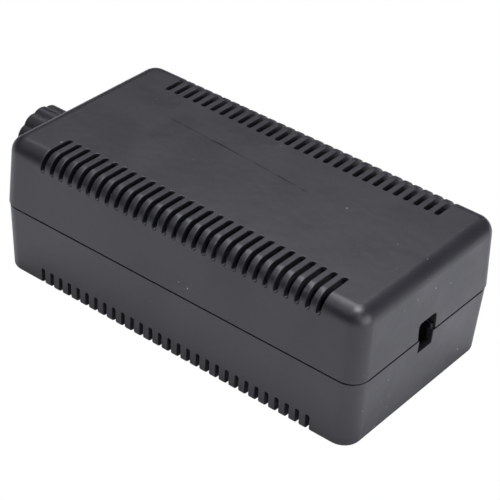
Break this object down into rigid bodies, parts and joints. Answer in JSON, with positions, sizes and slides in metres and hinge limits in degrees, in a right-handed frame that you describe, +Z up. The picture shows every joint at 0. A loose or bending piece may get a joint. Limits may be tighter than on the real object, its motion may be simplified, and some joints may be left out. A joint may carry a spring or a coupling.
{
  "type": "knob-controlled power regulator",
  "caption": "Black vented two-part plastic case with a fluted rotary control knob on one end and a cable outlet in the other, holding a power control board.",
  "frame": {"origin": "centre of the case's flat underside", "axes": "+X along the case towards the cable outlet (the knob is at -X), +Y across it, +Z up"},
  "size_m": [0.1458, 0.067, 0.0446],
  "materials": {
    "case_plastic": "fine-grained black moulded plastic, satin",
    "knob_plastic": "black moulded plastic, semi-gloss",
    "zinc_steel": "bright zinc plated",
    "turned_brass": "turned, bright",
    "extruded_aluminium": "extruded, satin",
    "phenolic_wafer": "brown phenolic, dull",
    "board_laminate": "green solder mask over laminate",
    "black_epoxy": "moulded epoxy, dull",
    "capacitor_sleeve": "heat-shrunk sleeve, glossy",
    "terminal_green": "moulded, semi-gloss",
    "white_nylon": "natural nylon, satin",
    "silicone_pad": "soft grey pad, dull",
    "film_capacitor_red": "moulded box, semi-gloss",
    "clear_glass": "clear tube",
    "red_insulation": "wire insulation",
    "yellow_insulation": "wire insulation",
    "black_insulation": "wire insulation"
  },
  "bodies": {
    "case": {"board_screw_1": "zinc_steel", "board_screw_2": "zinc_steel", "board_screw_3": "zinc_steel", "board_screw_4": "zinc_steel", "bottom_shell": "case_plastic", "capacitor_1": "capacitor_sleeve", "capacitor_2": "capacitor_sleeve", "capacitor_3": "capacitor_sleeve", "case_screw_1": "zinc_steel", "case_screw_2": "zinc_steel", "case_screw_3": "zinc_steel", "case_screw_4": "zinc_steel", "circuit_board": "board_laminate", "control_chip": "black_epoxy", "device_screw_1": "zinc_steel", "device_screw_2": "zinc_steel", "device_screw_3": "zinc_steel", "device_screw_4": "zinc_steel", "film_capacitor": "film_capacitor_red", "flyback_diode": "black_epoxy", "fuse_cap_1": "zinc_steel", "fuse_cap_2": "zinc_steel", "fuse_clip_1": "turned_brass", "fuse_clip_2": "turned_brass", "fuse_glass": "clear_glass", "heat_sink": "extruded_aluminium", "insulating_pad": "silicone_pad", "mosfet_1": "black_epoxy", "mosfet_2": "black_epoxy", "mosfet_3": "black_epoxy", "pot_body": "zinc_steel", "pot_bushing": "turned_brass", "pot_header": "white_nylon", "pot_lug_1": "zinc_steel", "pot_lug_2": "zinc_steel", "pot_lug_3": "zinc_steel", "pot_nut": "zinc_steel", "pot_plug": "white_nylon", "pot_track": "phenolic_wafer", "pot_washer": "zinc_steel", "pot_wire_black": "black_insulation", "pot_wire_red": "red_insulation", "pot_wire_yellow": "yellow_insulation", "terminal_block": "terminal_green", "terminal_plate_1": "turned_brass", "terminal_plate_2": "turned_brass", "terminal_plate_3": "turned_brass", "terminal_plate_4": "turned_brass", "terminal_screw_1": "zinc_steel", "terminal_screw_2": "zinc_steel", "terminal_screw_3": "zinc_steel", "terminal_screw_4": "zinc_steel", "top_shell": "case_plastic", "voltage_regulator": "black_epoxy"},
    "knob": {"control_knob": "knob_plastic", "knob_bush": "turned_brass", "knob_grub_screw": "zinc_steel", "pot_shaft": "extruded_aluminium", "shaft_clip": "zinc_steel", "pot_wiper": "white_nylon"}
  },
  "joints": [
    {"name": "knob_turn", "type": "hinge", "parent": "case", "child": "knob", "pos_m": [-0.0644, 0, 0.0223], "axis": [1, 0, 0], "range_deg": [-150, 150]}
  ]
}
